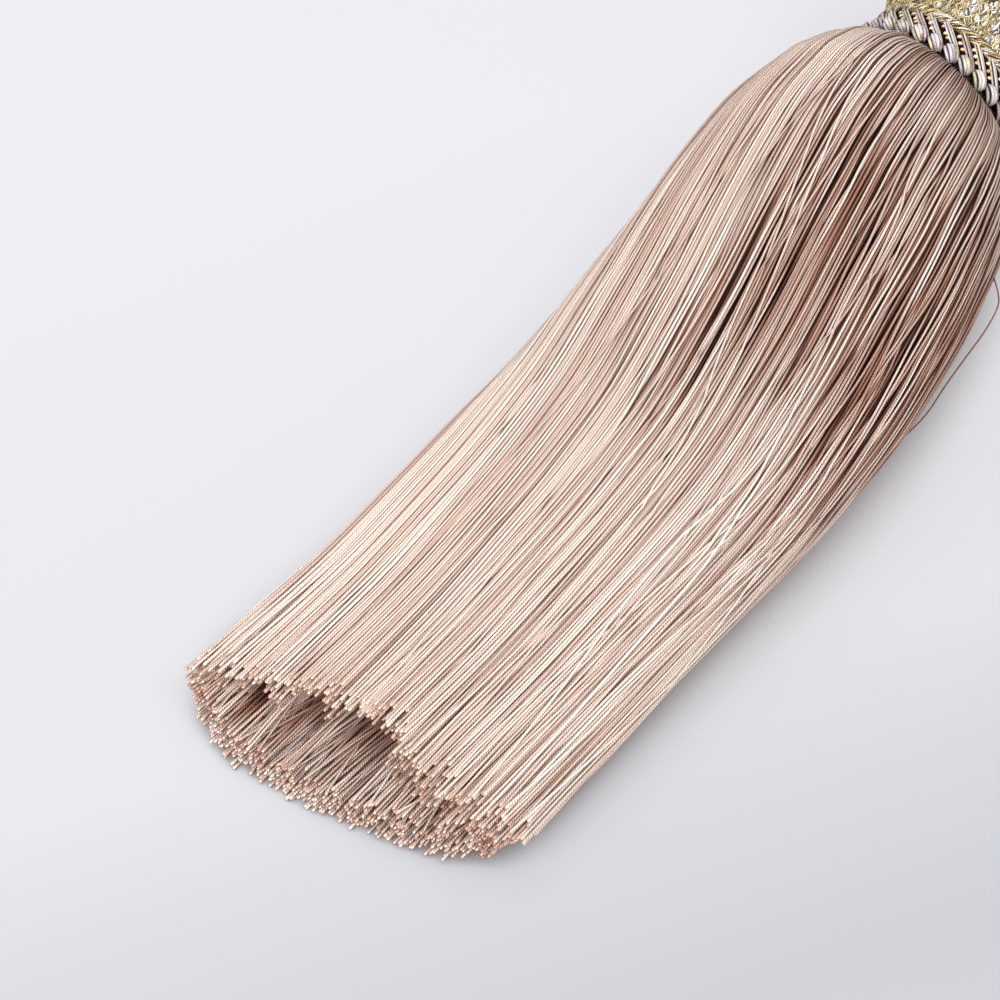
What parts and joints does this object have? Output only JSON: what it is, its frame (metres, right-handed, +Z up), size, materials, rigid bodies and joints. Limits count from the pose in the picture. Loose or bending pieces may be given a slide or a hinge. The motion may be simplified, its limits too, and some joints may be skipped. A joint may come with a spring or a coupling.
{
  "type": "curtain tieback tassel",
  "caption": "Tassel of a curtain tieback lying on its side: a long thread fringe, a plaited collar and a round netted head with a rope hole.",
  "frame": {"origin": "middle of the bounding box's base, on the surface that the tassel lies on", "axes": "+X along the tassel from its cut ends to its head, +Z up"},
  "size_m": [0.3144, 0.0952, 0.0709],
  "materials": {
    "skirt_thread": "satin twisted cord",
    "gimp_braid": "satin plaited cord",
    "metallic_net": "metallic thread",
    "head_yarn": "pale satin yarn"
  },
  "bodies": {
    "root": {"skirt": "skirt_thread", "collar_braid": "gimp_braid", "net_cover": "metallic_net", "head_mould": "head_yarn"}
  },
  "joints": []
}
